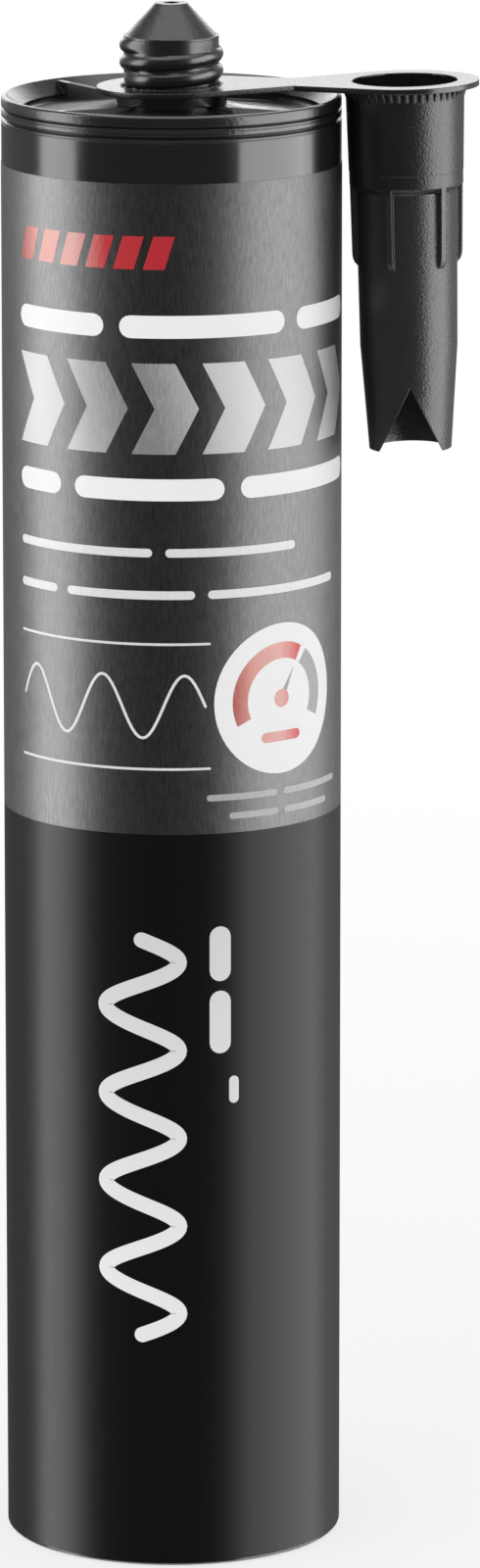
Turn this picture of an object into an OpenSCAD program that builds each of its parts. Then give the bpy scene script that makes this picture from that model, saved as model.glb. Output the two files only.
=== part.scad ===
// Sealant cartridge, 310 ml class: a moulded tube with a dished head and a threaded, sealed neck.
// The nozzle is one moulding with a strap and a ring, and hangs by that ring from the neck.
// Z is up along the cartridge axis. The origin is the centre of the open rear end. The nozzle is at +X.

/* [Tube] */
// Outer diameter of the tube
tube_d = 49.5; // [47:0.1:54]
// Thickness of the tube wall
wall_t = 1.55; // [1.2:0.05:2]
// Length from the open rear end to the top of the head rim
tube_h = 215; // [170:1:260]
// How much the wall is thinned at the mouth of the bore
mouth_relief = 0.35; // [0.3:0.05:0.5]
// Depth of the wider mouth
mouth_h = 10; // [6:1:12]
// Height of the cone between the mouth and the bore
mouth_taper_h = 1.5; // [1:0.5:3]
// Bevel round the foot of the tube
foot_bevel = 0.3; // [0.1:0.1:0.5]

/* [Rim] */
// Width of the flat on top of the rim
rim_land = 0.15; // [0.1:0.05:0.5]
// Radius of the rounding at the rim's outer edge
rim_round = 0.5; // [0.2:0.05:0.8]
// Width of the sloping wall inside the rim
rim_slope_w = 2.2; // [1.5:0.05:3]
// Depth from the rim to the foot of that sloping wall
rim_slope_h = 2; // [1.5:0.1:2.4]
// Depth of the grooves round the rim
groove_t = 0.42; // [0.1:0.02:0.5]
// Width of the upper groove
upper_groove_h = 0.45; // [0.3:0.05:0.7]
// Width of the lower groove
lower_groove_h = 0.65; // [0.3:0.05:1]
// Height of the band above the upper groove
upper_band_h = 1.5; // [1:0.1:2]
// Height of the band between the grooves
lower_band_h = 0.9; // [0.6:0.1:1.4]
// Distance of the fine line under each groove
line_gap = 0.24; // [0.1:0.02:0.3]
// Width of that line
line_h = 0.14; // [0.08:0.02:0.2]
// Depth of that line
line_t = 0.1; // [0.04:0.02:0.2]

/* [Head] */
// Depth from the rim to the channel round the plate
dish_h = 3; // [2.6:0.1:4]
// Radius of the fillet between the sloping wall and the channel
dish_fillet = 0.9; // [0.5:0.1:1.2]
// Rise of the plate from the channel to the collar
plate_rise = 1.7; // [1:0.1:2.2]
// Thickness of the plate
plate_t = 1.6; // [1.2:0.1:2.4]
// Outer diameter of the collar round the neck
collar_d = 16.1; // [15.6:0.1:18]
// Height of the collar above the rim
collar_h = 0.35; // [0.2:0.05:1]
// Number of ribs across the dish
rib_count = 4; // [2:1:8]
// Direction of the first rib
rib_angle = 45; // [0:5:85]
// Thickness of a rib
rib_t = 0.95; // [0.6:0.05:1.6]
// Depth from the rim to the outer end of a rib's top
rib_drop = 0.2; // [0.1:0.1:0.6]
// How far a rib stands above the plate at the collar
rib_foot_h = 0.25; // [0.1:0.05:0.6]

/* [Neck] */
// Diameter of the neck under the thread
neck_d = 13.8; // [13:0.1:14.4]
// Thickness of the neck's wall
neck_wall_t = 1.5; // [1:0.1:2]
// Diameter over the thread
thread_d = 15.1; // [14.8:0.1:15.4]
// Rise of the thread in one turn
thread_pitch = 2.5; // [2:0.1:3]
// Width of the thread's ridge where it meets the neck
thread_w = 2; // [1.4:0.1:2]
// Number of turns of the thread
thread_turns = 2.13; // [1.5:0.01:3]
// Direction in which the thread starts at the bottom
thread_angle = 185; // [0:1:359]
// Angle over which the thread's lower end fades in
thread_fade = 60; // [30:5:90]
// Space between the strap's ring and the thread
thread_gap = 0.25; // [0.2:0.05:0.5]
// Height of the plain neck above the thread
neck_land = 0.1; // [0.1:0.1:1]

/* [Sealed tip] */
// Diameter of the cone at its foot
tip_foot_d = 13.2; // [12.4:0.1:13.6]
// Diameter of the flat on top of the cone
tip_d = 4.7; // [4:0.1:6]
// Height of the cone
tip_h = 4.65; // [4:0.05:6]
// Thickness of the cone's wall, measured level
tip_wall_t = 1.5; // [1:0.1:2]
// Diameter of the blind pit in the flat
pit_d = 2.3; // [1.5:0.1:3]
// Depth of the blind pit
pit_h = 0.9; // [0.5:0.1:1.2]
// Thickness of the skin under the pit, which seals the cartridge
seal_t = 0.8; // [0.5:0.1:1.2]

/* [Strap] */
// Thickness of the strap, its ring and the nozzle's flange
strap_t = 0.8; // [0.6:0.05:1.2]
// Outer diameter of the ring
ring_d = 21.7; // [20:0.1:24]
// Space between the ring and the neck
ring_clear = 0.35; // [0.3:0.05:0.5]
// Space between the ring and the collar
ring_gap = 0.25; // [0.2:0.05:0.5]
// Space between the nozzle's sleeve and the tube
hang_gap = 0.5; // [0.4:0.05:3]
// Width of the strap at its waist
waist_w = 8.4; // [6:0.1:12]
// Distance of the waist from the middle of the strap, towards the nozzle
waist_shift = 0.9; // [-2:0.1:3]
// Angle at which the strap lets the nozzle hang
hang_tilt = 1.1; // [0.5:0.1:1.1]

/* [Nozzle] */
// Length of the nozzle from the top of its flange to its tip
nozzle_h = 54; // [46:0.5:90]
// Outer diameter of the flange
flange_d = 21.6; // [20.5:0.1:24]
// Space between the neck's thread and the nozzle's socket
socket_clear = 0.15; // [0.1:0.05:0.3]
// Depth of the socket
socket_h = 13.5; // [10:0.1:14]
// Thickness of the sleeve's wall at the flange
sleeve_t = 0.95; // [0.8:0.05:1.3]
// How much the sleeve narrows towards its foot, in radius
sleeve_draft = 0.35; // [0.1:0.05:0.35]
// Height of the sleeve with its flange
sleeve_h = 15; // [14.6:0.1:18]
// Width of the bevel at the sleeve's foot
sleeve_bevel = 0.9; // [0.7:0.05:1.1]
// Height of the line round the sleeve above its foot
sleeve_step_h = 1.9; // [1:0.1:3]
// Depth of the step at that line
sleeve_step_t = 0.06; // [0.02:0.01:0.1]
// Number of small gussets under the flange
gusset_count = 48; // [24:1:60]
// Height of a gusset
gusset_h = 1.6; // [1:0.1:2.4]
// How far a gusset reaches out under the flange
gusset_w = 0.55; // [0.3:0.05:0.8]
// Thickness of a gusset
gusset_t = 0.5; // [0.3:0.05:0.6]
// Thickness of the tube's wall
nozzle_wall_t = 0.95; // [0.8:0.05:1.3]
// How much the tube narrows from the sleeve to the taper, in radius
barrel_draft = 0.29; // [0.1:0.01:0.6]
// Length of the tapered end
taper_h = 15.2; // [11:0.1:18]
// Outer diameter of the tip
nozzle_tip_d = 12.04; // [10:0.1:13]
// Number of grip fins under the sleeve
fin_count = 6; // [3:1:10]
// Direction of the first fin
fin_angle = 10; // [0:5:55]
// Thickness of a fin
fin_t = 1; // [0.6:0.1:1.6]
// Height of a fin's straight part
fin_h = 10.1; // [6:0.1:10.1]
// Height of the rounding at a fin's foot
fin_round_h = 1.9; // [1:0.1:3]
// How much a fin narrows from the sleeve to its rounding, in reach
fin_draft = 0.2; // [0:0.05:0.4]
// Depth of the notch in the tip
notch_h = 9.7; // [5:0.1:10]
// Width of the notch at the tip
notch_w = 9.2; // [5:0.1:9.6]

/* [Piston] */
// Distance from the rear end of the tube to the piston
piston_inset = 12; // [10:1:30]
// Length of the piston
piston_h = 22; // [16:1:30]
// Running clearance between the piston's lips and the bore
piston_fit = 0.05; // [0.03:0.01:0.08]
// Height of a sealing lip
lip_h = 2.2; // [1.5:0.1:4]
// Depth of the relief between the lips
lip_t = 0.4; // [0.2:0.05:0.8]
// Thickness of the piston's wall and floor
piston_wall_t = 1.4; // [1:0.1:2]
// How much the cup narrows towards its floor, in radius
piston_draft = 0.3; // [0.2:0.05:0.5]
// Height of the dome on the piston's front
dome_h = 1.4; // [0.5:0.1:2]
// Number of ribs inside the piston
piston_rib_count = 8; // [4:1:12]
// Thickness of a rib inside the piston
piston_rib_t = 1; // [0.8:0.1:1.6]
// Height of the ribs at the piston's wall
piston_rib_h = 8; // [4:0.5:10]
// Length of the ribs along the piston's floor
piston_rib_w = 11; // [6:0.5:14]

/* [Sealant and film] */
// Space round the sealant
fill_gap = 0.15; // [0.1:0.05:0.3]
// Thickness of the printed film
film_t = 0.06; // [0.05:0.01:0.2]
// Thickness of the film's glue
glue_t = 0.02; // [0.02:0.01:0.05]
// Distance from the rim to the film's upper edge
film_drop = 9.7; // [6:0.1:20]
// Distance from the rear end to the film's lower edge
film_lift = 0.5; // [0.3:0.1:20]

/* [Hidden] */
BLACK = [0.06, 0.06, 0.065];
GREY = [0.45, 0.45, 0.46];
WHITE = [0.9, 0.9, 0.87];
TAN = [0.72, 0.7, 0.66];
$fn = 96;

// How deep one solid is sunk in the next where they are moulded as one
bite = 0.3;
// Steps in one turn of the thread, and the height of its rows
thread_steps = 36;
thread_row_h = 0.22;
// Power that rounds the top of the thread's ridge
ridge_power = 0.55;

tube_r = tube_d / 2;
bore_r = tube_r - wall_t;
mouth_r = bore_r + mouth_relief;

rim_in_r = tube_r - rim_round - rim_land;
slope_r = rim_in_r - rim_slope_w;
channel_z = tube_h - dish_h;
channel_r = slope_r - dish_fillet;
plate_z = channel_z + plate_rise;
ceiling_z = channel_z - plate_t;
plate_under_z = plate_z - plate_t;
// Bevel of the bore's upper corner, under the rim
corner_w = 0.8;

collar_r = collar_d / 2;
collar_z = tube_h + collar_h;
neck_r = neck_d / 2;
neck_bore_r = neck_r - neck_wall_t;
ring_z = collar_z + ring_gap;
ring_top_z = ring_z + strap_t;
thread_z = ring_top_z + thread_gap + thread_w / 2 - thread_pitch * thread_fade / 360;
neck_top_z = thread_z + thread_pitch * thread_turns + thread_w / 2 + neck_land;
tip_z = neck_top_z + tip_h;
tip_foot_r = tip_foot_d / 2;
tip_r = tip_d / 2;
seal_z = tip_z - pit_h - seal_t;
// Radius of the cone's outside where the hollow under the seal ends
seal_r = tip_r + (tip_foot_r - tip_r) * (tip_z - seal_z) / tip_h;

socket_r = thread_d / 2 + socket_clear;
sleeve_r = socket_r + sleeve_t;
sleeve_foot_r = sleeve_r - sleeve_draft;
barrel_r = sleeve_foot_r - sleeve_bevel;
barrel_end_r = barrel_r - barrel_draft;
nozzle_tip_r = nozzle_tip_d / 2;
hang_x = tube_r + hang_gap + sleeve_r;
sleeve_foot_z = strap_t - sleeve_h;
bevel_foot_z = sleeve_foot_z - sleeve_bevel;
taper_z = strap_t - nozzle_h + taper_h;
nozzle_tip_z = strap_t - nozzle_h;
socket_floor_z = strap_t - socket_h;
ring_hole_r = neck_r + ring_clear;

lip_r = bore_r - piston_fit;
skirt_r = lip_r - lip_t;
cup_r = skirt_r - piston_wall_t;
cup_floor_r = cup_r - piston_draft;
piston_top_z = piston_inset + piston_h;
cup_floor_z = piston_top_z - dome_h - piston_wall_t;

film_r = tube_r + glue_t;

// Points of a circle's arc, from angle a to angle b
function arc(x, y, r, a, b, steps = 6) =
    [for (i = [0:steps]) [x + r * cos(a + (b - a) * i / steps), y + r * sin(a + (b - a) * i / steps)]];

// Points of a sharp groove in the tube's wall and of the fine line under it, from the foot to the top
function groove(top, h) =
    let (foot = top - h, line_top = foot - line_gap)
    [
        [tube_r, line_top - line_h],
        [tube_r - line_t, line_top - line_h / 2],
        [tube_r, line_top],
        [tube_r, foot],
        [tube_r - groove_t, foot + h / 2],
        [tube_r, top]
    ];

// Inner edge of the sloping wall, rounded into the channel
function dish_corner() = arc(channel_r, channel_z + dish_fillet, dish_fillet, -10, -90);

// Cut through the wall, rim, dish, neck and sealed tip, outside first and then down the inside
module body_section() {
    upper_groove_z = tube_h - upper_band_h;
    lower_groove_z = upper_groove_z - upper_groove_h - lower_band_h;
    polygon(concat(
        [[mouth_r, 0], [tube_r - foot_bevel, 0], [tube_r, foot_bevel]],
        groove(lower_groove_z, lower_groove_h),
        groove(upper_groove_z, upper_groove_h),
        arc(tube_r - rim_round, tube_h - rim_round, rim_round, 0, 90, 4),
        [[rim_in_r, tube_h], [slope_r, tube_h - rim_slope_h]],
        dish_corner(),
        [[collar_r, plate_z], [collar_r, collar_z], [tip_foot_r, collar_z]],
        [[tip_foot_r, neck_top_z], [tip_r, tip_z], [pit_d / 2, tip_z], [pit_d / 2, tip_z - pit_h]],
        [[0, tip_z - pit_h], [0, seal_z], [seal_r - tip_wall_t, seal_z]],
        [[neck_bore_r, neck_top_z], [neck_bore_r, plate_under_z], [channel_r, ceiling_z]],
        [[bore_r - corner_w, ceiling_z], [bore_r, ceiling_z - corner_w]],
        [[bore_r, mouth_h + mouth_taper_h], [mouth_r, mouth_h]]
    ));
}

// Ribs that stiffen the dish, from under the rim to the collar
module dish_ribs() {
    for (i = [0:rib_count - 1])
        rotate([90, 0, rib_angle + i * 360 / rib_count])
            linear_extrude(height = rib_t, center = true)
                polygon([
                    [collar_r - bite, plate_z - bite],
                    [collar_r - bite, plate_z + rib_foot_h],
                    [rim_in_r, tube_h - rib_drop],
                    [rim_in_r, channel_z],
                    [channel_r, channel_z - bite]
                ]);
}

// Height of the thread's ridge over the neck, at a direction and a height
function ridge(direction, z) =
    let (
        turned = thread_turns * 360,
        first = ((direction - thread_angle) % 360 + 360) % 360,
        crest = thread_d / 2 - neck_r
    )
    max([for (a = [first:360:first + turned])
        let (
            across = abs(z - thread_z - thread_pitch * a / 360) / (thread_w / 2),
            share = min(1, a / thread_fade, (turned - a) / thread_fade * 2)
        )
        across < 1 && share > 0 ? crest * share * pow(cos(90 * across), ridge_power) : 0]);

// Threaded jacket of the neck: its rounded ridge climbs as a right-hand helix
module neck_thread() {
    foot_z = collar_z - bite;
    rows = round((neck_top_z - foot_z) / thread_row_h);
    row_h = (neck_top_z - foot_z) / rows;
    layers = rows + 3;
    function ring(z, outer) = [for (j = [0:thread_steps - 1])
        let (d = j * 360 / thread_steps, r = outer ? neck_r + ridge(d, z) : tip_foot_r - bite)
        [r * cos(d), r * sin(d), z]];
    points = concat(
        [for (i = [0:rows]) each ring(foot_z + i * row_h, true)],
        ring(neck_top_z, false),
        ring(foot_z, false)
    );
    faces = [for (i = [0:layers - 1], j = [0:thread_steps - 1])
        let (
            above = (i + 1) % layers * thread_steps,
            next = (j + 1) % thread_steps,
            a = i * thread_steps + j, b = i * thread_steps + next,
            c = above + j, d = above + next
        )
        each [[a, c, b], [b, c, d]]];
    polyhedron(points, faces, convexity = 8);
}

// Tube, rim, dished head, collar and sealed neck, moulded in one piece
module cartridge_body() {
    color(BLACK) {
        rotate_extrude() body_section();
        dish_ribs();
        neck_thread();
    }
}

// Printed film, glued round the tube
module label() {
    color(GREY)
        rotate_extrude()
            translate([film_r, film_lift])
                square([film_t, tube_h - film_drop - film_lift]);
}

// Sealant, from the piston to the sealed tip
module sealant_fill() {
    r = bore_r - fill_gap;
    plug_r = neck_bore_r - fill_gap;
    tip_plug_r = seal_r - tip_wall_t - fill_gap;
    edge_z = ceiling_z - corner_w - fill_gap;
    color(TAN)
        rotate_extrude()
            polygon([
                [0, piston_top_z + fill_gap],
                [cup_r, piston_top_z - dome_h + fill_gap],
                [r, piston_top_z - dome_h + fill_gap],
                [r, edge_z],
                [r - corner_w, edge_z + corner_w],
                [channel_r, edge_z + corner_w],
                [plug_r, plate_under_z - fill_gap],
                [plug_r, neck_top_z - fill_gap],
                [tip_plug_r, seal_z - fill_gap],
                [0, seal_z - fill_gap]
            ]);
}

// Ribs between the piston's floor and its wall
module piston_ribs() {
    for (i = [0:piston_rib_count - 1])
        rotate([90, 0, i * 360 / piston_rib_count])
            linear_extrude(height = piston_rib_t, center = true)
                polygon([
                    [cup_floor_r - piston_rib_w, cup_floor_z],
                    [cup_floor_r, cup_floor_z - piston_rib_h],
                    [cup_r + bite, cup_floor_z - piston_rib_h],
                    [cup_r + bite, cup_floor_z + bite],
                    [cup_floor_r - piston_rib_w, cup_floor_z + bite]
                ]);
}

// Cup-shaped piston with a sealing lip at each end, open to the rear
module piston() {
    shoulder_z = piston_top_z - dome_h;
    color(WHITE) {
        rotate_extrude()
            polygon([
                [cup_r, piston_inset],
                [lip_r, piston_inset],
                [lip_r, piston_inset + lip_h],
                [skirt_r, piston_inset + lip_h + lip_t],
                [skirt_r, shoulder_z - lip_h - lip_t],
                [lip_r, shoulder_z - lip_h],
                [lip_r, shoulder_z],
                [cup_r, shoulder_z],
                [0, piston_top_z],
                [0, piston_top_z - piston_wall_t],
                [cup_floor_r / 2, cup_floor_z],
                [cup_floor_r, cup_floor_z]
            ]);
        piston_ribs();
    }
}

// Point where the line from point p touches a circle on the X axis, on the turn's side of p
function tangent(x, r, p, turn) =
    let (away = norm([p[0] - x, p[1]]), a = atan2(p[1], p[0] - x) + turn * acos(r / away))
    [x + r * cos(a), r * sin(a)];

// Flat strap, straight from the ring to its waist and on to the flange
module strap_sheet() {
    waist = [hang_x / 2 + waist_shift, waist_w / 2];
    side = [tangent(0, ring_d / 2, waist, 1), waist, tangent(hang_x, flange_d / 2, waist, -1)];
    linear_extrude(height = strap_t)
        difference() {
            union() {
                circle(d = ring_d);
                translate([hang_x, 0]) circle(d = flange_d);
                polygon(concat(side, [for (i = [2:-1:0]) [side[i][0], -side[i][1]]]));
            }
            circle(r = ring_hole_r);
            translate([hang_x, 0]) circle(r = socket_r);
        }
}

// Cut through the sleeve and the tapered tube of the nozzle
module nozzle_section() {
    neck_in_r = barrel_r - nozzle_wall_t;
    polygon([
        [socket_r, strap_t],
        [sleeve_r, strap_t],
        [sleeve_r, 0],
        [sleeve_foot_r + sleeve_step_t, sleeve_foot_z + sleeve_step_h],
        [sleeve_foot_r, sleeve_foot_z + sleeve_step_h],
        [sleeve_foot_r, sleeve_foot_z],
        [barrel_r, bevel_foot_z],
        [barrel_end_r, taper_z],
        [nozzle_tip_r, nozzle_tip_z],
        [nozzle_tip_r - nozzle_wall_t, nozzle_tip_z],
        [barrel_end_r - nozzle_wall_t, taper_z],
        [neck_in_r, bevel_foot_z],
        [socket_r, socket_floor_z]
    ]);
}

// Small gussets between the flange and the sleeve
module gussets() {
    for (i = [0:gusset_count - 1])
        rotate([90, 0, i * 360 / gusset_count])
            linear_extrude(height = gusset_t, center = true)
                polygon([
                    [sleeve_r - bite, strap_t / 2],
                    [sleeve_r + gusset_w, strap_t / 2],
                    [sleeve_r + gusset_w, 0],
                    [sleeve_r - sleeve_draft * gusset_h / sleeve_h, -gusset_h],
                    [sleeve_r - bite, -gusset_h]
                ]);
}

// Grip fins under the sleeve, rounded into the tube at their feet
module fins() {
    top_z = sleeve_foot_z + bite;
    foot_z = sleeve_foot_z - fin_h;
    inner_r = barrel_r - nozzle_wall_t / 2;
    reach = sleeve_foot_r - fin_draft - inner_r;
    for (i = [0:fin_count - 1])
        rotate([90, 0, fin_angle + i * 360 / fin_count])
            linear_extrude(height = fin_t, center = true)
                polygon(concat(
                    [[inner_r, top_z], [sleeve_foot_r, top_z]],
                    [for (a = [0:15:90]) [inner_r + reach * cos(a), foot_z - fin_round_h * sin(a)]]
                ));
}

// Notch in the wall of the nozzle's tip that shapes the bead, cut from the -Y side to the axis
module tip_notch() {
    over = 1;
    widen = over * notch_w / notch_h / 2;
    translate([hang_x, 0, nozzle_tip_z])
        rotate([90, 0, 0])
            linear_extrude(height = barrel_end_r + over)
                polygon([
                    [-notch_w / 2 - widen, -over],
                    [notch_w / 2 + widen, -over],
                    [0, notch_h]
                ]);
}

// Nozzle, strap and ring, moulded in one piece, hanging slightly outwards from the neck
module nozzle() {
    color(BLACK)
        translate([0, 0, ring_z])
            rotate([0, -hang_tilt, 0])
                difference() {
                    union() {
                        strap_sheet();
                        translate([hang_x, 0, 0]) {
                            rotate_extrude() nozzle_section();
                            gussets();
                            fins();
                        }
                    }
                    tip_notch();
                }
}

cartridge_body();
label();
sealant_fill();
piston();
nozzle();
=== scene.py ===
"""The looks of a sealant cartridge whose nozzle hangs beside its threaded neck."""

import random
from math import ceil, cos, floor, pi, radians, sin

import bmesh
import bpy
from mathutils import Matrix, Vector


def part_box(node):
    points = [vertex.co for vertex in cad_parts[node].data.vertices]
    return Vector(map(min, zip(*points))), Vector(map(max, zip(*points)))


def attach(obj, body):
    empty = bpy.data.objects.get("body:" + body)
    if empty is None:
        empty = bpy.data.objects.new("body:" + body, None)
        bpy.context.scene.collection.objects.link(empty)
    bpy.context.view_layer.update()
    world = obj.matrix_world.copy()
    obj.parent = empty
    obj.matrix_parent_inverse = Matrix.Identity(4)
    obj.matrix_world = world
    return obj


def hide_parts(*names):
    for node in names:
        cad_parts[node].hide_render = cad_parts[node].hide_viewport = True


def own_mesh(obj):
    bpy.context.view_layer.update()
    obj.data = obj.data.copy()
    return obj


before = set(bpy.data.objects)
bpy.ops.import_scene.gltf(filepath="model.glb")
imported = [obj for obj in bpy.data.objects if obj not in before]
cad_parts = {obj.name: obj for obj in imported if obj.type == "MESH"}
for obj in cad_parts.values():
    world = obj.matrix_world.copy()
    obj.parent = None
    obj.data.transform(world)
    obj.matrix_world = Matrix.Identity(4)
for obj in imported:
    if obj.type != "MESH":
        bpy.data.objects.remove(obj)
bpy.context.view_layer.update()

# Groups that a lamp can light alone: the film with its print, every other piece, and the tube with its film
film_pieces = bpy.data.collections.new("film_pieces")
bare_pieces = bpy.data.collections.new("bare_pieces")
tube_pieces = bpy.data.collections.new("tube_pieces")

MM = 0.001

# Camera, fitted to the photograph's outline
CAMERA_DISTANCE = 1.338225
CAMERA_ELEVATION = radians(12.053)
CAMERA_AIM = Vector((0.009963, 0, 0.112561))
CAMERA_LENS = 208.28
SENSOR = 36

# The film round the tube, and the height where its grey field ends
film_low, film_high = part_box("label")
film_r = film_high.x
FIELD_SPLIT_Z = 110.3 * MM

# Head: its lowest groove, the foot of the tip's cone, and the plate from the collar to the rim's slope
GROOVE_Z = 211.1 * MM
CONE_FOOT_Z = 223.3 * MM
COLLAR_R = 8.1 * MM
PLATE_R = 21.3 * MM

# Flow marks on the plate grow from this far left of the axis to as far right of it
MARKS_X = 6 * MM

# Hang of the nozzle: its axis, the ring's underside, the strap's thickness and tilt, and the sleeve's foot
HANG_X = 33.9 * MM
RING_Z = 215.6 * MM
STRAP_T = 0.8 * MM
HANG_TILT = radians(1.1)
SLEEVE_FOOT_Z = 201 * MM

# Inner thread of the nozzle's socket
SOCKET_R = 7.7 * MM
INNER_CREST_R = 7.05 * MM
INNER_PITCH = 2.5 * MM
INNER_TURNS = 3.5
INNER_TOP = 1.6 * MM
INNER_RIDGE_W = 0.8 * MM

# Burr round the ring's hole: its radii, depth of its foot, least height, what chance adds, and its top
BURR_R = 7.27 * MM
BURR_OUTER_R = 7.48 * MM
BURR_DEPTH = 0.05 * MM
BURR_H = 0.05 * MM
BURR_UNEVEN_H = 0.2 * MM
BURR_UNEVEN_R = 0.12 * MM
BURR_TOP_W = 0.1 * MM

# Print: thickness over the film, depth under its face, and width of the strips that follow the curve
INK_T = 0.01 * MM
INK_DEPTH = 0.02 * MM
STRIP_W = 0.8 * MM

# Brushed looks: stretch of the upright streaks, and length and slant of the painted sheen, pale and dark
# waves in the silver ink's colour
STREAKS = (7000, 7000, 600)
PAINTED_SHEEN_LENGTH = 40 * MM
PAINTED_SHEEN_SLANT = 0.2

# White ink on the black field turns silver between these heights
FADE_LOW_Z = 34 * MM
FADE_HIGH_Z = 96 * MM

# Glued lap at the film's back: width and inset from the film's ends in mm, and thickness
LAP_W = 5
LAP_INSET = 0.02
LAP_T = 0.04 * MM

# Sealant: outline as radius and height in mm
FILL_OUTLINE = ((0, 34.15), (20, 32.75), (23.05, 32.75), (23.05, 209.6), (22.25, 210.4),
                (20.95, 210.4), (5.25, 211.95), (5.25, 223.5), (1.6, 226.45), (0, 226.45))

# Points closer than this are one, and edges bent by more degrees than these stay sharp
JOIN_DISTANCE = MM / 1000
FRAME_EDGE = 38
PIECE_EDGE = 40

# Floor: radius, depth under the object, share of plain white near it, and the shares of the radius
# between which that rises to all white
FLOOR_R = 0.9
FLOOR_DEPTH = 0.2 * MM
FLOOR_GLOW = 0.72
FLOOR_FADE = (0.15, 0.6)

# Height that the lamps face, radius of the upright cards, and the world's light on plain colours
LAMP_AIM_Z = 0.11
CARD_R = 0.5
WORLD_LIGHT = 0.85


def spherical(azimuth, elevation):
    """Direction seen from the object: azimuth 0 is the camera's side, 90 the nozzle's side, in degrees."""
    a, e = radians(azimuth), radians(elevation)
    return Vector((sin(a) * cos(e), -cos(a) * cos(e), sin(e)))


def add_camera():
    data = bpy.data.cameras.new("camera")
    data.lens = CAMERA_LENS
    data.sensor_width = SENSOR
    camera = bpy.data.objects.new("camera", data)
    back = Vector((0, -cos(CAMERA_ELEVATION), sin(CAMERA_ELEVATION)))
    camera.location = CAMERA_AIM + back * CAMERA_DISTANCE
    camera.rotation_euler = (-back).to_track_quat("-Z", "Y").to_euler()
    bpy.context.scene.collection.objects.link(camera)
    bpy.context.scene.camera = camera


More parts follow.
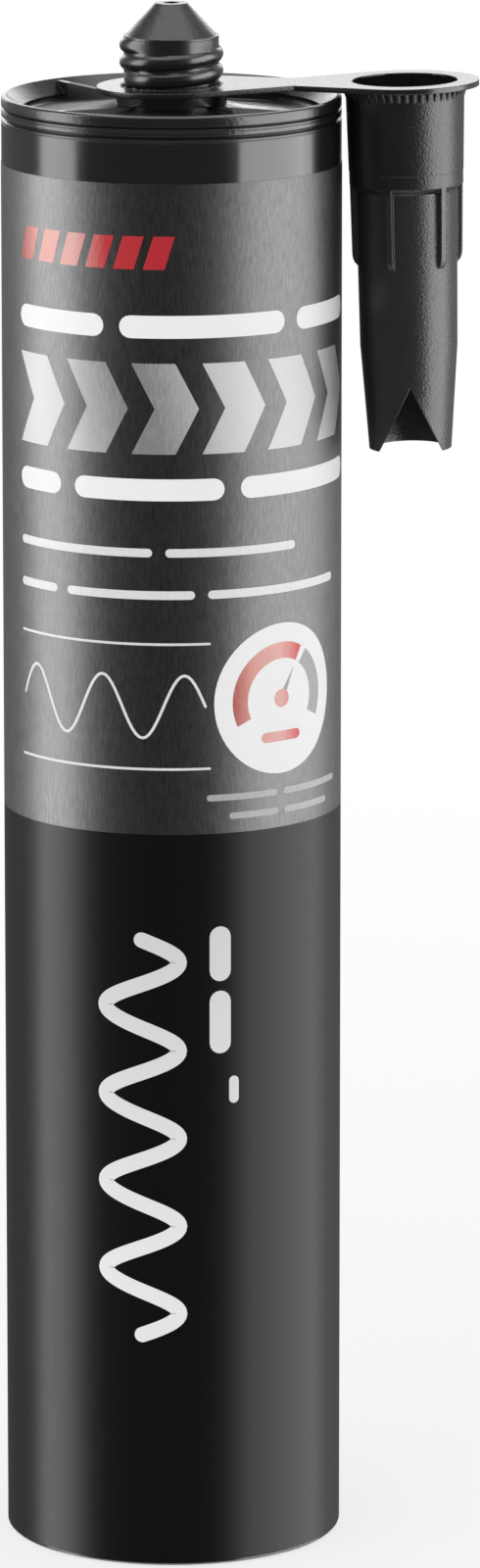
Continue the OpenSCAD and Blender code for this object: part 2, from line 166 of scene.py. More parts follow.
class Surface:
    """A material with one shader, and the steps that paint it over the object's own coordinates."""

    def __init__(self, name, color, roughness, metallic=0.0, specular=0.5):
        self.material = bpy.data.materials.new(name)
        self.material.use_nodes = True
        self.nodes = self.material.node_tree.nodes
        self.link = self.material.node_tree.links.new
        self.shader = self.nodes["Principled BSDF"]
        self.shader.inputs["Base Color"].default_value = (*color, 1)
        self.shader.inputs["Roughness"].default_value = roughness
        self.shader.inputs["Metallic"].default_value = metallic
        self.shader.inputs["Specular IOR Level"].default_value = specular
        self.place = self.nodes.new("ShaderNodeTexCoord").outputs["Object"]
        parts = self.nodes.new("ShaderNodeSeparateXYZ")
        self.link(self.place, parts.inputs["Vector"])
        self.x, self.y, self.z = parts.outputs

    def paint(self, name, value):
        self.link(value, self.shader.inputs[name])

    def stretched(self, stretch):
        mapping = self.nodes.new("ShaderNodeMapping")
        mapping.inputs["Scale"].default_value = stretch
        self.link(self.place, mapping.inputs["Vector"])
        return mapping.outputs["Vector"]

    def noise(self, scale, detail, stretch=(1, 1, 1), roughness=0.5):
        """Noise, in features per metre."""
        made = self.nodes.new("ShaderNodeTexNoise")
        made.inputs["Scale"].default_value = scale
        made.inputs["Detail"].default_value = detail
        made.inputs["Roughness"].default_value = roughness
        self.link(self.stretched(stretch), made.inputs["Vector"])
        return made.outputs["Fac"]

    def streaks(self, detail=3):
        """Fine upright streaks of a brushed surface."""
        return self.noise(1, detail, STREAKS, 0.6)

    def cells(self, scale):
        """Rounded grains, in grains per metre."""
        made = self.nodes.new("ShaderNodeTexVoronoi")
        made.feature = "SMOOTH_F1"
        made.inputs["Scale"].default_value = scale
        self.link(self.place, made.inputs["Vector"])
        return made.outputs["Distance"]

    def spread(self, value, low, high, from_low=0.3, from_high=0.7):
        """Maps a value onto a range of its own."""
        made = self.nodes.new("ShaderNodeMapRange")
        made.inputs["From Min"].default_value = from_low
        made.inputs["From Max"].default_value = from_high
        made.inputs["To Min"].default_value = low
        made.inputs["To Max"].default_value = high
        self.link(value, made.inputs["Value"])
        return made.outputs["Result"]

    def calc(self, operation, a, b=0.0):
        """One step of arithmetic on two values, each a number or a socket."""
        made = self.nodes.new("ShaderNodeMath")
        made.operation = operation
        for socket, value in zip(made.inputs, (a, b)):
            if isinstance(value, (int, float)):
                socket.default_value = value
            else:
                self.link(value, socket)
        return made.outputs[0]

    def times(self, a, b):
        return self.calc("MULTIPLY", a, b)

    def plus(self, a, b):
        return self.calc("ADD", a, b)

    def minus(self, a, b):
        return self.calc("SUBTRACT", a, b)

    def blend(self, value, a, b):
        """Colour between two others, each a colour or a socket, by a value from 0 to 1."""
        made = self.nodes.new("ShaderNodeMix")
        made.data_type = "RGBA"
        for name, color in (("A", a), ("B", b)):
            if isinstance(color, tuple):
                made.inputs[name].default_value = (*color, 1)
            else:
                self.link(color, made.inputs[name])
        self.link(value, made.inputs["Factor"])
        return made.outputs["Result"]

    def ramp(self, value, stops):
        """Colour along a value, from pairs of a place and a colour."""
        made = self.nodes.new("ShaderNodeValToRGB")
        elements = made.color_ramp.elements
        while len(elements) < len(stops):
            elements.new(1)
        for element, (place, color) in zip(elements, stops):
            element.position = place
            element.color = (*color, 1)
        self.link(value, made.inputs["Fac"])
        return made.outputs["Color"]

    def bump(self, height, distance, strength, edge=0.0):
        """Bump, and where asked edges that shine as if rounded to a radius."""
        made = self.nodes.new("ShaderNodeBump")
        made.inputs["Distance"].default_value = distance
        made.inputs["Strength"].default_value = strength
        self.link(height, made.inputs["Height"])
        if edge:
            rounded = self.nodes.new("ShaderNodeBevel")
            rounded.samples = 6
            rounded.inputs["Radius"].default_value = edge
            self.link(rounded.outputs["Normal"], made.inputs["Normal"])
        self.paint("Normal", made.outputs["Normal"])

    def past(self, value, edge, step=0.05 * MM):
        """1 past an edge and 0 before it, with a short step that starts at the edge."""
        return self.spread(value, 0, 1, edge, edge + step)

    def within(self, value, edge, step=0.05 * MM):
        """1 before an edge and 0 past it, with a short step that starts at the edge."""
        return self.spread(value, 1, 0, edge, edge + step)

    def arc(self):
        """Distance round the tube from its front line, positive towards the nozzle."""
        front = self.times(self.y, -1)
        return self.times(self.calc("ARCTAN2", self.x, front), film_r)

    def radius(self, across=None):
        """Distance from the tube's axis, or from another one that lies where a given value across is 0."""
        squares = [self.times(side, side) for side in (across or self.x, self.y)]
        return self.calc("SQRT", self.plus(*squares))


def gloss_black():
    """Moulded tube: glossy wall, softer neck, coarser rim and tip, and a plate with wavy flow marks."""
    made = Surface("gloss_black", (0.012, 0.012, 0.0125), 0.16)
    head = made.past(made.z, GROOVE_Z)
    radius = made.radius()
    outside = made.past(radius, COLLAR_R, 0.1 * MM)
    plate = made.times(made.times(made.within(radius, PLATE_R, 0.2 * MM), outside), head)
    middle = made.minus(head, made.times(head, outside))
    cone = made.times(middle, made.past(made.z, CONE_FOOT_Z))
    neck = made.minus(middle, cone)
    coarse = made.minus(made.minus(head, plate), neck)
    flow = made.noise(260, 3, (1, 1, 0.35))
    wavy = made.times(plate, made.spread(made.x, 0.15, 1, -MARKS_X, MARKS_X))
    dull = made.times(made.minus(plate, wavy), 0.34)
    drawn = made.times(made.noise(900, 3, (1, 1, 0.12), 0.65), cone)
    rough = made.plus(made.times(coarse, 0.03), dull)
    rough = made.plus(rough, made.times(neck, 0.09))
    rough = made.plus(rough, made.times(drawn, 0.16))
    made.paint("Roughness", made.plus(made.spread(flow, 0.13, 0.22), rough))
    grain = made.times(made.noise(1500, 4, roughness=0.6), made.times(coarse, 0.6))
    waves = made.times(made.noise(240, 3, roughness=0.6), wavy)
    height = made.plus(made.plus(grain, drawn), made.times(waves, 2.2))
    made.bump(height, 0.12 * MM, 0.6, edge=0.12 * MM)
    return made.material


def satin_black():
    """Moulded nozzle: fine leather grain, darker from the sleeve up, smoother on strap and in socket."""
    made = Surface("satin_black", (0.012, 0.012, 0.0125), 0.34)
    sleeve = made.past(made.z, SLEEVE_FOOT_Z, 0.3 * MM)
    made.paint("Base Color", made.blend(sleeve, (0.019, 0.019, 0.0195), (0.009, 0.009, 0.0095)))
    level = made.minus(made.z, made.times(made.x, sin(HANG_TILT)))
    strap = made.past(level, RING_Z - 0.15 * MM, 0.1 * MM)
    slant = made.times(made.minus(made.z, RING_Z), sin(HANG_TILT))
    across = made.minus(made.plus(made.times(made.x, cos(HANG_TILT)), slant), HANG_X)
    socket = made.times(sleeve, made.within(made.radius(across), SOCKET_R + 0.05 * MM))
    fine = made.noise(3600, 3)
    rough = made.minus(made.spread(fine, 0.3, 0.42), made.times(strap, 0.1))
    made.paint("Roughness", made.times(rough, made.spread(socket, 1, 0.35, 0, 1)))
    grain = made.plus(made.cells(3200), made.times(fine, 0.8))
    smoother = made.calc("MAXIMUM", strap, socket)
    deep = made.times(grain, made.spread(smoother, 1, 0.2, 0, 1))
    made.bump(deep, 0.055 * MM, 0.75, edge=0.35 * MM)
    return made.material


def brushed_film():
    """Film: brushed grey foil above, satin black below."""
    made = Surface("brushed_film", (0.1, 0.1, 0.102), 0.45, specular=0.18)
    streaks = made.streaks()
    foil = made.past(made.z, FIELD_SPLIT_Z, 0.02 * MM)
    grey = made.blend(made.spread(streaks, 0, 1), (0.062, 0.062, 0.064), (0.118, 0.118, 0.12))
    made.paint("Base Color", made.blend(foil, (0.004, 0.004, 0.0042), grey))
    made.paint("Metallic", foil)
    made.paint("Roughness", made.plus(made.spread(streaks, 0.33, 0.41), made.times(foil, 0.08)))
    made.bump(made.times(streaks, foil), 0.004 * MM, 0.5)
    return made.material


def plain_ink(name, dark, light, scale=1500, specular=0.5):
    """Ink of one tone, slightly uneven in its cover."""
    made = Surface(name, light, 0.45, specular=specular)
    cover = made.noise(scale, 3)
    made.paint("Base Color", made.blend(made.spread(cover, 0, 1), dark, light))
    made.bump(cover, 0.003 * MM, 0.5)
    return made.material


def red_foil(name, start, end):
    """Red metallic ink, which runs from deep red over pink to plain red between two places round the tube.
    The pink is partly the print's own tone and partly a painted highlight.
    """
    made = Surface(name, (0.5, 0.03, 0.04), 0.42, metallic=0.06, specular=0.25)
    along = made.spread(made.arc(), 0, 1, start * MM, end * MM)
    streaks = made.streaks(2)
    place = made.plus(along, made.spread(streaks, -0.03, 0.03))
    # Pink stops: partly print tone, partly painted highlight
    stops = ((0, (0.34, 0.02, 0.022)), (0.2, (0.62, 0.3, 0.26)), (0.42, (0.66, 0.36, 0.33)),
             (0.6, (0.52, 0.03, 0.035)), (1, (0.5, 0.016, 0.028)))
    made.paint("Base Color", made.ramp(place, stops))
    made.bump(streaks, 0.003 * MM, 0.4)
    return made.material


def silver_foil():
    """Silver metallic ink, brushed like the film, with a painted sheen: slightly slanted pale and dark waves
    in its colour.
    """
    made = Surface("silver_foil", (0.5, 0.5, 0.5), 0.42, metallic=0.04, specular=0.2)
    # Painted sheen: slanted waves that make the ink's colour paler and darker
    slant = made.plus(made.arc(), made.times(made.z, PAINTED_SHEEN_SLANT))
    wave = made.calc("SINE", made.times(slant, 2 * pi / PAINTED_SHEEN_LENGTH))
    streaks = made.streaks()
    place = made.plus(made.spread(wave, 0, 1, -1, 1), made.spread(streaks, -0.09, 0.09))
    stops = ((0, (0.23, 0.23, 0.23)), (0.18, (0.38, 0.38, 0.385)),
             (0.6, (0.6, 0.6, 0.605)), (1, (0.69, 0.69, 0.69)))
    made.paint("Base Color", made.ramp(place, stops))
    made.bump(streaks, 0.003 * MM, 0.4)
    return made.material


def fading_white():
    """White ink that turns silver towards the top."""
    made = Surface("fading_white", (0.85, 0.85, 0.85), 0.42)
    up = made.spread(made.z, 0, 1, FADE_LOW_Z, FADE_HIGH_Z)
    made.paint("Base Color", made.ramp(up, ((0.2, (0.93, 0.93, 0.93)), (1, (0.72, 0.72, 0.73)))))
    made.bump(made.noise(1800, 3), 0.003 * MM, 0.4)
    return made.material


def white_plastic():
    """Piston: natural white plastic with faint flow marks."""
    made = Surface("white_plastic", (0.8, 0.8, 0.76), 0.38)
    flow = made.noise(300, 3)
    made.paint("Base Color", made.blend(flow, (0.76, 0.76, 0.71), (0.83, 0.83, 0.8)))
    made.bump(flow, 0.05 * MM, 0.3)
    return made.material


def paste():
    """Sealant: soft black paste."""
    made = Surface("paste", (0.03, 0.03, 0.03), 0.4)
    lumps = made.noise(220, 4)
    made.paint("Base Color", made.blend(lumps, (0.02, 0.02, 0.02), (0.035, 0.035, 0.035)))
    made.bump(lumps, 0.4 * MM, 0.4)
    return made.material


def smooth(obj):
    """Rounds the shading of an added piece, apart from its sharp edges."""
    for face in obj.data.polygons:
        face.use_smooth = True
    edges = bmesh.new()
    edges.from_mesh(obj.data)
    for edge in edges.edges:
        edge.smooth = edge.calc_face_angle(0) < radians(PIECE_EDGE)
    edges.to_mesh(obj.data)
    edges.free()


def finish_piece(obj, material, body, slot):
    obj.data.materials.append(material)
    bpy.context.scene.collection.objects.link(obj)
    groups = (film_pieces, tube_pieces) if slot == "label_film" else (bare_pieces,)
    for group in groups:
        group.objects.link(obj)
    smooth(obj)
    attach(obj, body)
    return obj


def add_piece(name, points, faces, material, body, slot):
    mesh = bpy.data.meshes.new(name)
    mesh.from_pydata([tuple(p) for p in points], [], faces)
    return finish_piece(bpy.data.objects.new(name, mesh), material, body, slot)


def rounded_shading():
    """Modifier nodes that join the split corners of a mesh of the frame and round its shading."""
    group = bpy.data.node_groups.new("rounded_shading", "GeometryNodeTree")
    group.interface.new_socket("Geometry", in_out="INPUT", socket_type="NodeSocketGeometry")
    group.interface.new_socket("Geometry", in_out="OUTPUT", socket_type="NodeSocketGeometry")
    new, link = group.nodes.new, group.links.new
    start, end = new("NodeGroupInput"), new("NodeGroupOutput")
    join = new("GeometryNodeMergeByDistance")
    join.inputs["Distance"].default_value = JOIN_DISTANCE
    bare = new("GeometryNodeRemoveAttribute")
    bare.inputs["Name"].default_value = "custom_normal"
    soft, sharp = new("GeometryNodeSetShadeSmooth"), new("GeometryNodeSetShadeSmooth")
    sharp.domain = "EDGE"
    sharp.inputs["Shade Smooth"].default_value = False
    corner = new("GeometryNodeInputMeshEdgeAngle")
    over = new("FunctionNodeCompare")
    over.operation = "GREATER_THAN"
    over.inputs["B"].default_value = radians(FRAME_EDGE)
    link(corner.outputs["Unsigned Angle"], over.inputs["A"])
    link(over.outputs["Result"], sharp.inputs["Selection"])
    link(start.outputs[0], join.inputs["Geometry"])
    link(join.outputs["Geometry"], bare.inputs["Geometry"])
    link(bare.outputs["Geometry"], soft.inputs["Geometry"])
    link(soft.outputs["Geometry"], sharp.inputs["Geometry"])
    link(sharp.outputs["Geometry"], end.inputs[0])
    return group


def dress_frame(satin, film):
    """Gives each visible piece of the frame its material, its lamp groups and rounded shading."""
    shading = rounded_shading()
    looks = (("cartridge_body", gloss_black(), (bare_pieces, tube_pieces)),
             ("nozzle", satin, (bare_pieces,)),
             ("label", film, (film_pieces, tube_pieces)),
             ("piston", white_plastic(), (bare_pieces,)))
    for node, material, groups in looks:
        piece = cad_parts[node]
        for slot in piece.material_slots:
            slot.material = material
        piece.modifiers.new("rounded_shading", "NODES").node_group = shading
        for group in groups:
            group.objects.link(piece)


def wrap(s, z, lift):
    """A point on the film, from an arc length, a height and a lift."""
    r = film_r + lift
    return Vector((r * sin(s / film_r), -r * cos(s / film_r), z))


def printed(name, shapes, material, layer=1, thickness=INK_T):
    """Print on the film: flat shapes in mm of arc length and height, cut into strips and wrapped round it."""
    ink = bmesh.new()
    for shape in shapes:
        ink.faces.new([ink.verts.new((s * MM, z * MM, 0)) for s, z in shape])
    bmesh.ops.remove_doubles(ink, verts=ink.verts, dist=JOIN_DISTANCE)
    reach = [corner.co.x for corner in ink.verts]
    for i in range(ceil(min(reach) / STRIP_W), floor(max(reach) / STRIP_W) + 1):
        everything = ink.verts[:] + ink.edges[:] + ink.faces[:]
        bmesh.ops.bisect_plane(ink, geom=everything, plane_co=(i * STRIP_W, 0, 0), plane_no=(1, 0, 0))
    made = bmesh.ops.extrude_face_region(ink, geom=ink.faces[:], use_keep_orig=True)
    raised = {item for item in made["geom"] if isinstance(item, bmesh.types.BMVert)}
    for corner in ink.verts:
        lift = layer * thickness if corner in raised else -INK_DEPTH
        corner.co = wrap(corner.co.x, corner.co.y, lift)
    bmesh.ops.recalc_face_normals(ink, faces=ink.faces[:])
    mesh = bpy.data.meshes.new(name)
    ink.to_mesh(mesh)
    ink.free()
    finish_piece(bpy.data.objects.new(name, mesh), material, "cartridge", "label_film")


def disc(s, z, r, steps=64):
    return [(s + r * cos(2 * pi * i / steps), z + r * sin(2 * pi * i / steps)) for i in range(steps)]


def capsule(left, z, length, height, steps=8):
    """A bar with round ends, from its left end and the height of its middle."""
    r = height / 2
    ends = ((left + length - r, -90), (left + r, 90))
    return [(x + r * cos(radians(a + 180 * i / steps)), z + r * sin(radians(a + 180 * i / steps)))
            for x, a in ends for i in range(steps + 1)]


def slanted(left, low, width, height, lean):
    """A block whose top is shifted to the right."""
    high = low + height
    return [(left, low), (left + width, low), (left + width + lean, high), (left + lean, high)]


def chevron(left, low, width, height, lean):
    """A bar bent at half its height, pointing to the right, as two faces."""
    half = height / 2
    return [slanted(left, low, width, half, lean), slanted(left + lean, low + half, width, half, -lean)]


def sector(s, z, r_in, r_out, start, end, steps=24):
    """Part of a ring, from one angle to another in degrees, as faces."""
    def at(r, i):
        a = radians(start + (end - start) * i / steps)
        return s + r * cos(a), z + r * sin(a)
    return [[at(r_in, i), at(r_out, i), at(r_out, i + 1), at(r_in, i + 1)] for i in range(steps)]


def ribbon(points, width, cap_steps=8):
    """A line of one width with round ends, as faces along its points."""
    sides = []
    for i, (s, z) in enumerate(points):
        before, after = points[max(i - 1, 0)], points[min(i + 1, len(points) - 1)]
        away = Vector((before[1] - after[1], after[0] - before[0])).normalized() * width / 2
        sides.append(((s + away.x, z + away.y), (s - away.x, z - away.y)))
    faces = [[a[0], a[1], b[1], b[0]] for a, b in zip(sides, sides[1:])]
    for (s, z), (left, right) in ((points[0], sides[0]), (points[-1], sides[-1][::-1])):
        x, y = left[0] - s, left[1] - z
        turns = [pi * k / cap_steps for k in range(1, cap_steps)]
        round_end = [(s + x * cos(a) - y * sin(a), z + x * sin(a) + y * cos(a)) for a in turns]
        faces.append([left] + round_end + [right])
    return faces


def bar_row(left, z, lengths, height, gap):
    """A row of bars with round ends, in place of words."""
    bars = []
    for length in lengths:
        bars.append(capsule(left, z, length, height))
        left += length + gap
    return bars


def swings(turns, steps):
    """Pairs along a wave: the share of its length, and its swing from -1 to 1."""
    return [(i / steps, sin(2 * pi * turns * i / steps)) for i in range(steps + 1)]


def upright(shape):
    """A shape with its two directions exchanged."""
    return [(z, s) for s, z in shape]


def add_gauge(white, grey):
    """White disc with a plain gauge: red and grey arcs, a grey needle, and a red hub with a bar below it."""
    s, z = 17.4, 129.4
    disc_r, hub_r = 11.1, 1.35
    arc_in, arc_out = 5.9, 8.3
    needle_length, needle_half, needle_angle = 5.1, 0.55, radians(62)
    # Red ink whose pink middle is partly a painted highlight
    red = red_foil("red_gauge", start=8, end=30)
    printed("print_disc", [disc(s, z, disc_r)], white)
    printed("print_gauge_arc", sector(s, z, arc_in, arc_out, start=205, end=62), red, layer=2)
    marks = sector(s, z, arc_in, arc_out, start=54, end=-25, steps=14)
    needle = [(s + reach * cos(needle_angle + turn), z + reach * sin(needle_angle + turn))
              for reach, turn in ((needle_half, pi / 2), (needle_half, -pi / 2), (needle_length, 0))]
    printed("print_gauge_marks", marks + [needle], grey, layer=2)
    bar = capsule(s - 3.6, z - 5.6, length=7.2, height=1.5)
    printed("print_gauge_hub", [disc(s, z, hub_r, steps=32), bar], red, layer=3)


def add_grey_field_print(white, thin):
    """Print on the grey field, from the top down: blocks, bars, chevrons, bars, thin bars and a wave."""
    blocks = [slanted(-26.2 + 4.45 * i, low=193, width=3.1, height=4.8, lean=1.5) for i in range(6)]
    # Red ink whose pink middle is partly a painted highlight
    printed("print_red_blocks", blocks, red_foil("red_foil", start=-27, end=2))
    upper = bar_row(-26.4, 184.7, lengths=(16.5, 25.4, 15.1), height=3.3, gap=2.4)
    printed("print_upper_bars", upper, white)
    chevrons = [face for i in range(6)
                for face in chevron(-26.3 + 10.3 * i, low=166.2, width=6.4, height=13.2, lean=3.4)]
    # Silver ink with a painted sheen in its colour
    printed("print_chevrons", chevrons, silver_foil())
    lower = bar_row(-26.4, 161, lengths=(9.2, 22.6, 25.2), height=3.2, gap=2.5)
    printed("print_lower_bars", lower, white)
    thin_rows = ((151.8, (23.5, 20.8)), (145.6, (8.2, 19.6, 24.6)))
    thin_bars = [bar for z, lengths in thin_rows for bar in bar_row(-26.2, z, lengths, height=1.25, gap=1.9)]
    printed("print_thin_bars", thin_bars, thin)
    wave = [(-25.5 + 30.5 * share, 129.2 + 4.6 * swing) for share, swing in swings(2.5, 60)]
    rules = [capsule(-26.2, z, length=32, height=0.36) for z in (138.4, 120)]
    printed("print_wave", ribbon(wave, 0.42) + rules, thin)


def add_small_bars():
    """Small pale bars under the gauge."""
    rows = ((5.2, 115.6, (11.4, 13.2)), (8.6, 112.8, (8.2, 10.1)))
    bars = [bar for left, z, lengths in rows for bar in bar_row(left, z, lengths, height=0.95, gap=1.1)]
    pale = plain_ink("pale_ink", (0.38, 0.38, 0.385), (0.44, 0.44, 0.445))
    printed("print_small_bars", bars, pale)


def add_black_field_print(thin):
    """Print on the black field: a wavy bead, and upright bars beside it."""
    fading = fading_white()
    bead = [(-4.4 + 5.5 * swing, 35.2 + 59.4 * share) for share, swing in swings(4.5, 180)]
    printed("print_bead", ribbon(bead, 2.3), fading)
    bars = bar_row(77.5, 7.2, lengths=(9.4, 8.2), height=3.2, gap=1.4)
    printed("print_upright_bars", [upright(bar) for bar in bars], fading)
    mark = capsule(69.9, 9.3, length=4.1, height=1.5)
    printed("print_upright_mark", [upright(mark)], thin)


def add_print():
    """Plain shapes in the colours and at the scale of the film's print. Places and sizes are in mm."""
    white = plain_ink("white_ink", (0.92, 0.92, 0.925), (0.94, 0.94, 0.94), scale=1800, specular=0.25)
    grey = plain_ink("grey_ink", (0.27, 0.27, 0.275), (0.33, 0.33, 0.335))
    thin = plain_ink("thin_ink", (0.74, 0.74, 0.745), (0.8, 0.8, 0.8))
    add_grey_field_print(white, thin)
    add_gauge(white, grey)
    add_small_bars()
    add_black_field_print(thin)


def add_film_lap(material):
    """Lap where the film's two ends are glued over each other, at the back."""
    back = radians(180) * film_r / MM
    low, high = film_low.z / MM + LAP_INSET, film_high.z / MM - LAP_INSET
    shape = [(back - LAP_W, low), (back, low), (back, high), (back - LAP_W, high)]
    printed("film_lap", [shape], material, thickness=LAP_T)


def hung(x, y, z):
    """A point of the nozzle's moulding, from its own place under the flange to the hanging one."""
    return Vector((
        x * cos(HANG_TILT) - z * sin(HANG_TILT),
        y,
        RING_Z + x * sin(HANG_TILT) + z * cos(HANG_TILT),
    ))


def swept(rings, count, joined=False):
    """Faces of a section of so many points that is swept through rings, and back to the first if joined."""
    last = rings if joined else rings - 1
    return [(k * count + j, k * count + (j + 1) % count,
             (k + 1) % rings * count + (j + 1) % count, (k + 1) % rings * count + j)
            for k in range(last) for j in range(count)]


def add_inner_thread(material):
    """Ridge inside the nozzle's socket that grips the neck's thread, faded in and out."""
    steps = 72
    count = int(steps * INNER_TURNS)
    fade = steps / 4
    section = ((0.15, -0.5), (-1, -0.22), (-1, 0.22), (0.15, 0.5))
    corners = len(section)
    points = []
    for i in range(count + 1):
        a = 2 * pi * i / steps
        share = max(0.02, min(1, i / fade, (count - i) / fade))
        for out, along in section:
            r = SOCKET_R + (SOCKET_R - INNER_CREST_R) * (out * share if out < 0 else out)
            z = STRAP_T - INNER_TOP - INNER_PITCH * i / steps + along * INNER_RIDGE_W * max(share, 0.3)
            points.append(hung(HANG_X + r * cos(a), -r * sin(a), z))
    first_end = tuple(reversed(range(corners)))
    last_end = tuple(count * corners + j for j in range(corners))
    faces = swept(count + 1, corners) + [first_end, last_end]
    add_piece("socket_thread", points, faces, material, "nozzle_set", "nozzle_plastic")


def add_ring_flash(material):
    """Ragged burr that the mould left round the hole of the strap's ring."""
    chance = random.Random(7)
    steps = 150
    points = []
    for i in range(steps):
        a = 2 * pi * i / steps
        high = BURR_H + BURR_UNEVEN_H * chance.random() ** 2
        out = BURR_OUTER_R + BURR_UNEVEN_R * chance.random()
        section = ((BURR_R, -BURR_DEPTH), (out, -BURR_DEPTH), (BURR_R + BURR_TOP_W, high), (BURR_R, high))
        for r, z in section:
            points.append((r * cos(a), r * sin(a), RING_Z + STRAP_T + r * cos(a) * sin(HANG_TILT) + z))
    faces = swept(steps, 4, joined=True)
    add_piece("ring_flash", points, faces, material, "nozzle_set", "nozzle_plastic")


def add_sealant(material):
    """Sealant in the tube, turned from its outline, in place of the frame's own fill."""
    steps = 72
    turns = [2 * pi * i / steps for i in range(steps)]
    points = [(r * MM * cos(a), r * MM * sin(a), z * MM) for r, z in FILL_OUTLINE for a in turns]
    faces = swept(len(FILL_OUTLINE), steps)
    piece = add_piece("sealant", points, faces, material, "cartridge", "sealant")
    poles = bmesh.new()
    poles.from_mesh(piece.data)
    bmesh.ops.remove_doubles(poles, verts=poles.verts, dist=JOIN_DISTANCE)
    poles.to_mesh(piece.data)
    poles.free()
    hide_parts("sealant_fill")
    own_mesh(piece)


def add_lamp(name, azimuth, size, strength, elevation=0, distance=1.5, gloss=True, receivers=None):
    """A lamp that faces the object and is seen in gloss alone, or lights plain colours alone."""
    data = bpy.data.lights.new(name, "AREA")
    data.shape = "RECTANGLE"
    data.size, data.size_y = size
    data.energy = strength * size[0] * size[1] * pi
    lamp = bpy.data.objects.new(name, data)
    away = spherical(azimuth, elevation)
    lamp.location = Vector((0, 0, LAMP_AIM_Z)) + away * distance
    lamp.rotation_euler = away.to_track_quat("Z", "Y").to_euler()
    lamp.visible_camera = False
    lamp.visible_glossy = gloss
    lamp.visible_diffuse = not gloss
    bpy.context.scene.collection.objects.link(lamp)
    if receivers:
        lamp.light_linking.receiver_collection = receivers


def glow_stage(name, points, faces, shades):
    """A sheet that only the object's gloss sees, with a shade for each of its points."""
    mesh = bpy.data.meshes.new(name)
    mesh.from_pydata(points, [], faces)
    layer = mesh.color_attributes.new("shade", "FLOAT_COLOR", "POINT")
    for item, shade in zip(layer.data, shades):
        item.color = (shade, shade, shade, 1)
    made = Surface(name, (0, 0, 0), 1)
    made.nodes.remove(made.shader)
    glow = made.nodes.new("ShaderNodeEmission")
    painted = made.nodes.new("ShaderNodeVertexColor")
    painted.layer_name = "shade"
    made.link(painted.outputs["Color"], glow.inputs["Color"])
    made.link(glow.outputs[0], made.nodes["Material Output"].inputs["Surface"])
    made.material.cycles.emission_sampling = "NONE"
    mesh.materials.append(made.material)
    obj = bpy.data.objects.new(name, mesh)
    bpy.context.scene.collection.objects.link(obj)
    for kind in ("camera", "diffuse", "transmission", "volume_scatter", "shadow"):
        setattr(obj, "visible_" + kind, False)


def upright_card(name, stops, low_z, high_z):
    """An upright curved card round the object. Its stops are pairs of an azimuth and a shade."""
    points, shades = [], []
    parts = 6
    for (a, shade_a), (b, shade_b) in zip(stops, stops[1:]):
        for i in range(parts + 1):
            turn = radians(a + (b - a) * i / parts)
            for z in (low_z, high_z):
                points.append((CARD_R * sin(turn), -CARD_R * cos(turn), z))
                shades.append(shade_a + (shade_b - shade_a) * i / parts)
    faces = [(2 * i, 2 * i + 1, 2 * i + 3, 2 * i + 2) for i in range(len(points) // 2 - 1)]
    glow_stage(name, points, faces, shades)


def level_card(name, z, radius, shade):
    """A level round card above or below the object."""
    steps = 48
    points = [(radius * cos(2 * pi * i / steps), radius * sin(2 * pi * i / steps), z) for i in range(steps)]
    glow_stage(name, points, [tuple(range(steps))], [shade] * steps)


def add_floor():
    """Pale floor that keeps the object's shadow and fades into the white background."""
    place = (0, 0, -FLOOR_DEPTH)
    bpy.ops.mesh.primitive_circle_add(vertices=96, radius=FLOOR_R, fill_type="NGON", location=place)
    floor_disc = bpy.context.object
    floor_disc.name = "floor"
    made = Surface("floor", (0.85, 0.85, 0.85), 0.9, specular=0)
    glow = made.nodes.new("ShaderNodeEmission")
    length = made.nodes.new("ShaderNodeVectorMath")
    length.operation = "LENGTH"
    made.link(made.place, length.inputs[0])
    near, far = (share * FLOOR_R for share in FLOOR_FADE)
    fade = made.spread(length.outputs["Value"], FLOOR_GLOW, 1, near, far)
    path = made.nodes.new("ShaderNodeLightPath")
    mix = made.nodes.new("ShaderNodeMixShader")
    made.link(made.times(path.outputs["Is Camera Ray"], fade), mix.inputs[0])
    made.link(made.shader.outputs[0], mix.inputs[1])
    made.link(glow.outputs[0], mix.inputs[2])
    made.link(mix.outputs[0], made.nodes["Material Output"].inputs["Surface"])
    floor_disc.data.materials.append(made.material)
    floor_disc.visible_glossy = False


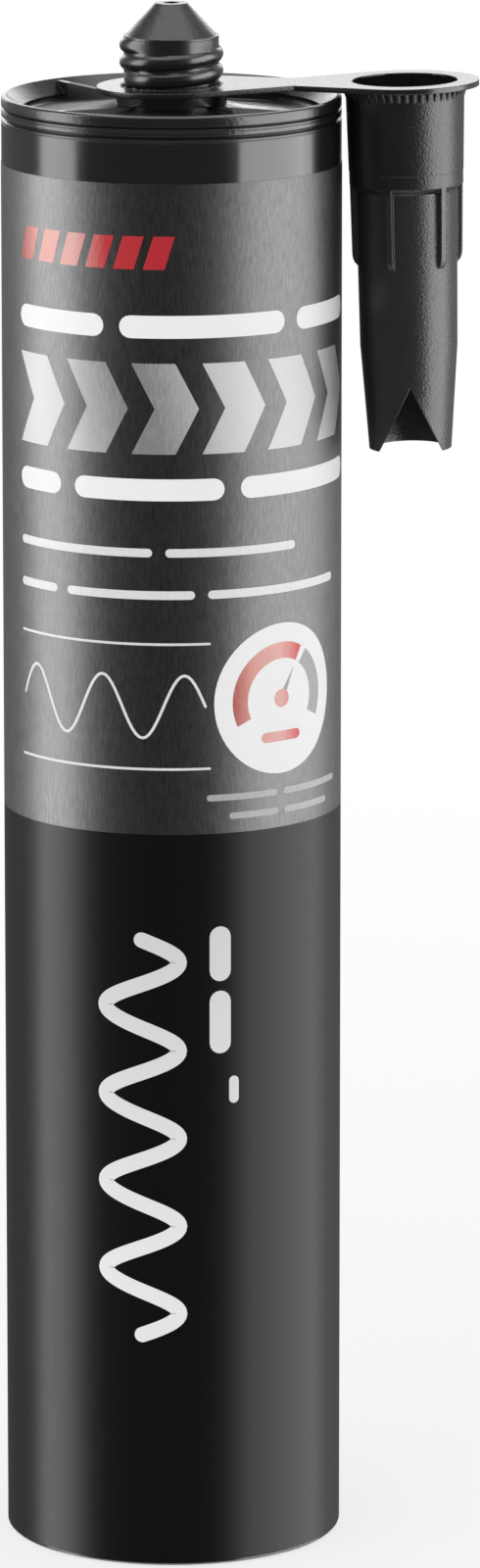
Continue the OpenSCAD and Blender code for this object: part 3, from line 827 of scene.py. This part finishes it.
def add_world():
    """White background for the camera, gloss and glass, and a plain soft light for the rest."""
    world = bpy.data.worlds.new("studio")
    world.use_nodes = True
    world.cycles.sampling_method = "NONE"
    nodes, link = world.node_tree.nodes, world.node_tree.links.new
    background = nodes["Background"]
    background.inputs["Color"].default_value = (1, 1, 1, 1)
    path = nodes.new("ShaderNodeLightPath")
    seen = path.outputs["Is Camera Ray"]
    for kind in ("Is Glossy Ray", "Is Transmission Ray"):
        most = nodes.new("ShaderNodeMath")
        most.operation = "MAXIMUM"
        link(seen, most.inputs[0])
        link(path.outputs[kind], most.inputs[1])
        seen = most.outputs[0]
    strength = nodes.new("ShaderNodeMapRange")
    strength.inputs["To Min"].default_value = WORLD_LIGHT
    strength.inputs["To Max"].default_value = 1
    link(seen, strength.inputs["Value"])
    link(strength.outputs["Result"], background.inputs["Strength"])
    bpy.context.scene.world = world


def add_lights():
    """Strips and cards that the gloss shows, and one soft lamp for the plain colours."""
    add_lamp("left_strip", -81.5, size=(0.9, 2.6), strength=5.5)
    add_lamp("right_strip", 74, size=(1.62, 2.6), strength=5.6, receivers=bare_pieces)
    add_lamp("film_right", 74, size=(1.5, 2.6), strength=4.1, receivers=film_pieces)
    add_lamp("right_edge", 111, size=(0.42, 2.6), strength=4, receivers=tube_pieces)
    add_lamp("back_light", 180, size=(1.5, 0.86), strength=1.42, elevation=21, distance=1.6)
    add_lamp("soft_key", -40, size=(0.9, 0.9), strength=0.8, elevation=50, distance=1.2, gloss=False)
    add_lamp("film_left", -102, size=(0.36, 2.6), strength=12, receivers=film_pieces)
    level_card("top_card", z=0.9, radius=0.45, shade=2.8)
    level_card("under_card", z=-0.5, radius=0.55, shade=1.7)
    upright_card("front_card", ((-66, 0.07), (46, 0.07)), low_z=-0.35, high_z=0.8)
    rear_left = ((-180, 0.1), (-150, 0.2), (-120, 0.34), (-99, 0.34))
    rear_right = ((119, 0.9), (140, 0.5), (160, 0.2), (180, 0.1))
    upright_card("rear_left_card", rear_left, low_z=-0.8, high_z=0.16)
    upright_card("rear_right_card", rear_right, low_z=-0.8, high_z=0.16)
    upright_card("slope_card", ((150, 0.36), (180, 0.28)), low_z=0.16, high_z=0.255)
    upright_card("left_side_card", ((-152, 0.4), (-112, 0.4)), low_z=0.16, high_z=0.8)
    upright_card("right_side_card", ((112, 0.4), (150, 0.4)), low_z=0.16, high_z=0.8)


def main():
    bpy.context.scene.view_settings.view_transform = "Standard"
    add_camera()
    add_world()
    add_floor()
    add_lights()
    satin, film = satin_black(), brushed_film()
    dress_frame(satin, film)
    add_inner_thread(satin)
    add_ring_flash(satin)
    add_sealant(paste())
    add_print()
    add_film_lap(film)


main()
